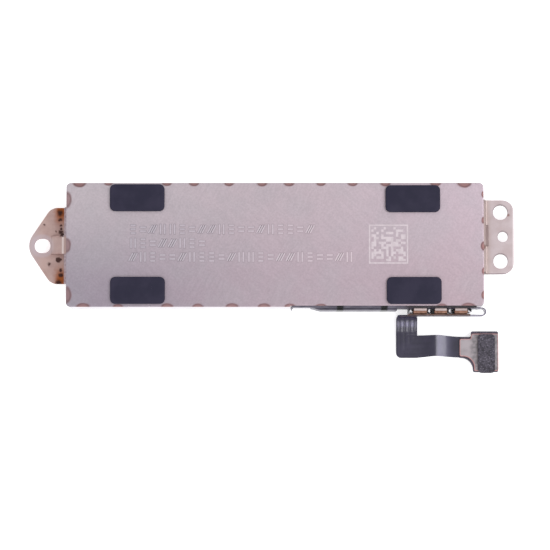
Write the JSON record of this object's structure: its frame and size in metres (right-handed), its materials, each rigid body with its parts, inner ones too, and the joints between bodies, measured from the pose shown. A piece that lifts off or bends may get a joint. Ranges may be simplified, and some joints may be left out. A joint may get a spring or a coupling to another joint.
{
  "type": "linear resonant actuator",
  "caption": "Flat bar-shaped haptic motor: spot-welded steel can with foam pads, two bent screw tabs, a folded flex tail with a small connector, and a sprung magnet mass inside.",
  "frame": {"origin": "centre of the can's flat underside", "axes": "+Z out of the cover that carries the foam pads, +X along the can towards the tab with two screw holes, -Y towards the flex tail"},
  "size_m": [0.0399, 0.0155, 0.0037],
  "materials": {
    "case_steel": "bright drawn stainless steel",
    "cover_steel": "satin stainless steel with spot-weld heat marks",
    "tab_steel": "satin stainless steel, rust specks at the root",
    "pad_foam": "dark satin foam",
    "flex_film": "dark glossy coverlay over copper traces",
    "black_tape": "black polyester tape",
    "gasket_foam": "black foam",
    "clip_steel": "bright spring steel",
    "finger_copper": "copper alloy, light top edge",
    "head_steel": "satin stainless steel",
    "head_pad_foam": "dark speckled conductive pad",
    "connector_plastic": "black liquid-crystal polymer",
    "contact_gold": "gold-plated contacts",
    "inner_flex_film": "amber polyimide film",
    "sensor_plastic": "black chip package",
    "coil_copper": "enamelled copper winding",
    "mass_tungsten": "sintered tungsten alloy",
    "magnet_nickel": "nickel-plated magnet",
    "spring_steel": "rolled spring steel",
    "stop_foam": "dark damping foam"
  },
  "bodies": {
    "case": {"case_tray": "case_steel", "cover_plate": "cover_steel", "screw_tab_left": "tab_steel", "screw_tab_right": "tab_steel", "foam_pad_rear_left": "pad_foam", "foam_pad_front_left": "pad_foam", "foam_pad_rear_right": "pad_foam", "foam_pad_front_right": "pad_foam", "flex_cable": "flex_film", "side_tape": "black_tape", "exit_gasket": "gasket_foam", "loop_stiffener": "black_tape", "flex_clip": "clip_steel", "ground_fingers": "finger_copper", "connector_stiffener": "head_steel", "connector_pad": "head_pad_foam", "connector_housing": "connector_plastic", "connector_contacts": "contact_gold", "coil_flex_lower": "inner_flex_film", "coil_flex_upper": "inner_flex_film", "hall_sensor": "sensor_plastic", "coil_lower_left": "coil_copper", "coil_lower_right": "coil_copper", "coil_upper_left": "coil_copper", "coil_upper_right": "coil_copper", "flexure_right": "spring_steel", "flexure_left": "spring_steel", "spring_anchor_left": "spring_steel", "spring_anchor_right": "spring_steel", "end_stop_left": "stop_foam", "end_stop_right": "stop_foam"},
    "mass": {"mass_frame": "mass_tungsten", "magnet_1": "magnet_nickel", "magnet_2": "magnet_nickel", "magnet_3": "magnet_nickel", "magnet_4": "magnet_nickel", "clamp_plate_left": "spring_steel", "clamp_plate_right": "spring_steel"}
  },
  "joints": [
    {"name": "mass_slide", "type": "slide", "parent": "case", "child": "mass", "axis": [1, 0, 0], "range_m": [-0.0007, 0.0007], "stiffness_N_per_m": 5200, "deforming": ["flexure_left", "flexure_right"]}
  ]
}
